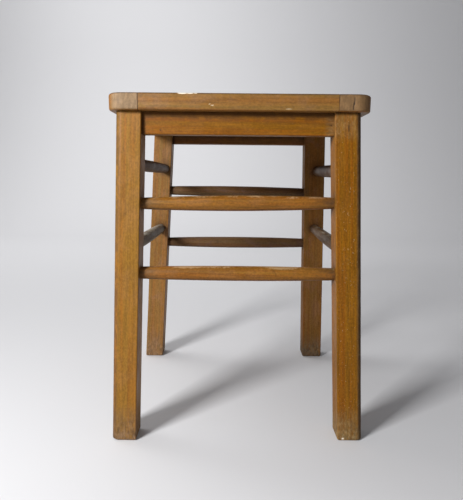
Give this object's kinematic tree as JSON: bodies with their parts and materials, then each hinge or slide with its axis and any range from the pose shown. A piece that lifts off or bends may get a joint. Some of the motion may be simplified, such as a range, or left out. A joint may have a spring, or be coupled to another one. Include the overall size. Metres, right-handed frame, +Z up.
{
  "type": "wooden stool",
  "caption": "Square wooden stool with a framed seat, splayed square legs, shallow aprons and turned rungs in two tiers.",
  "frame": {"origin": "on the floor, in the middle of the footprint, 3.5 mm to the left of the middle of the seat", "axes": "+Z up, -Y towards the front with the deeper apron, +X to the right seen from the front"},
  "size_m": [0.3468, 0.3414, 0.45],
  "materials": {
    "leg_wood": "worn varnished beech",
    "apron_wood": "varnished beech, glossy",
    "rung_wood": "worn varnished beech",
    "seat_wood": "worn varnished beech",
    "panel_wood": "worn varnished board",
    "dowel_wood": "bare beech",
    "steel": "aged steel"
  },
  "bodies": {
    "root": {"leg_front_left": "leg_wood", "leg_front_right": "leg_wood", "leg_rear_left": "leg_wood", "leg_rear_right": "leg_wood", "front_apron": "apron_wood", "rear_apron": "apron_wood", "rung_front_upper": "rung_wood", "rung_front_lower": "rung_wood", "rung_rear_upper": "rung_wood", "rung_rear_lower": "rung_wood", "rung_left_upper": "rung_wood", "rung_left_lower": "rung_wood", "rung_right_upper": "rung_wood", "rung_right_lower": "rung_wood", "seat_left_stile": "seat_wood", "seat_right_stile": "seat_wood", "seat_front_rail": "seat_wood", "seat_rear_rail": "seat_wood", "seat_panel": "panel_wood", "leg_dowels": "dowel_wood", "rail_dowels": "dowel_wood", "apron_screws": "steel", "panel_pins": "steel"}
  },
  "joints": []
}
